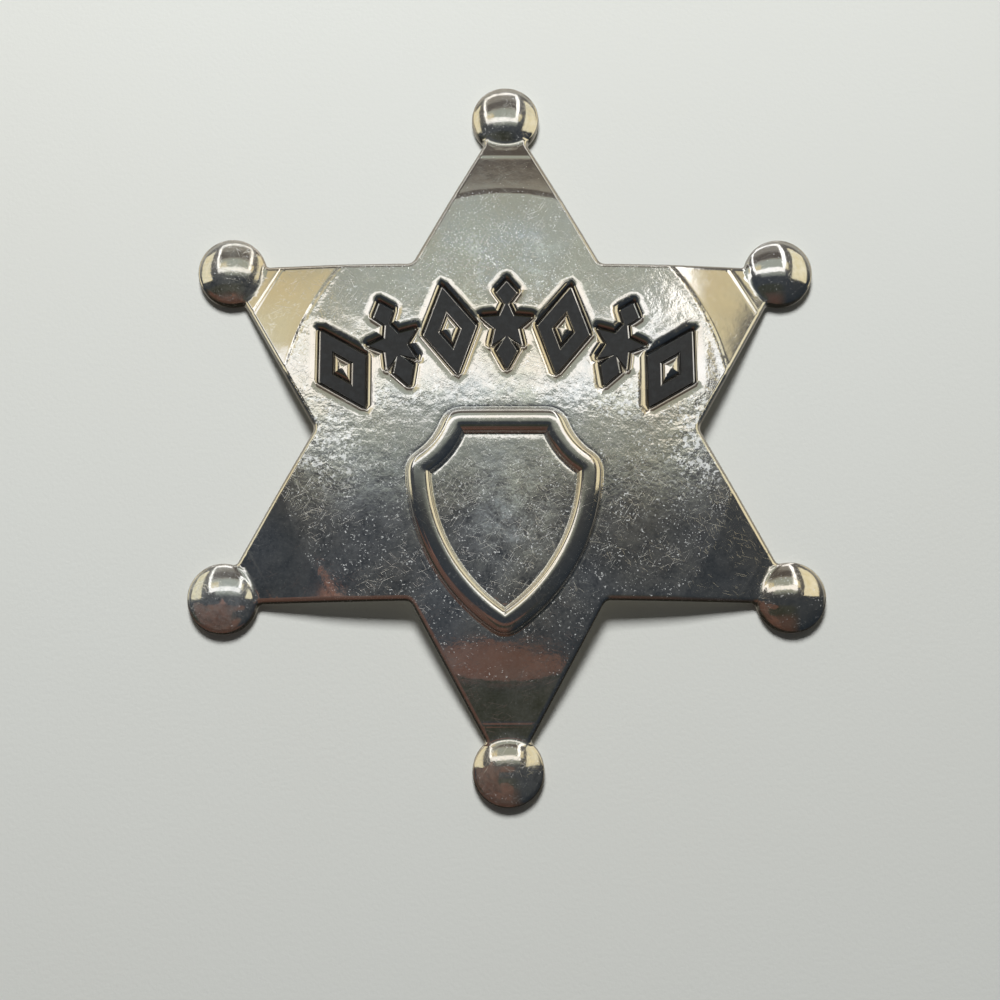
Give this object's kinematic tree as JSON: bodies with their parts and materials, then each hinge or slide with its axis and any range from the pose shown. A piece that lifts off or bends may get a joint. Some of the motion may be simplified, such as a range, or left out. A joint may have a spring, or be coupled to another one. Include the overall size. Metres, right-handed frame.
{
  "type": "sheriff star badge",
  "caption": "Domed six-point star badge in plated sheet with ball tips, a raised shield outline, an arched band of sunk black ornaments and a brooch pin behind.",
  "frame": {"origin": "middle of the star, on the surface that the rims of the six ball tips rest on", "axes": "+Y towards the top point, +X to the right as the face is seen, +Z out of the face"},
  "size_m": [0.0596, 0.07, 0.0045],
  "materials": {
    "nickel_plate": "polished nickel plate, worn and hazed in the middle",
    "black_enamel": "flat satin black enamel",
    "pin_steel": "plain drawn and stamped steel"
  },
  "bodies": {
    "root": {"star_plate": "nickel_plate", "enamel_1": "black_enamel", "enamel_2": "black_enamel", "enamel_3": "black_enamel", "enamel_4": "black_enamel", "enamel_5": "black_enamel", "enamel_6": "black_enamel", "enamel_7": "black_enamel", "pin_back": "pin_steel"}
  },
  "joints": []
}
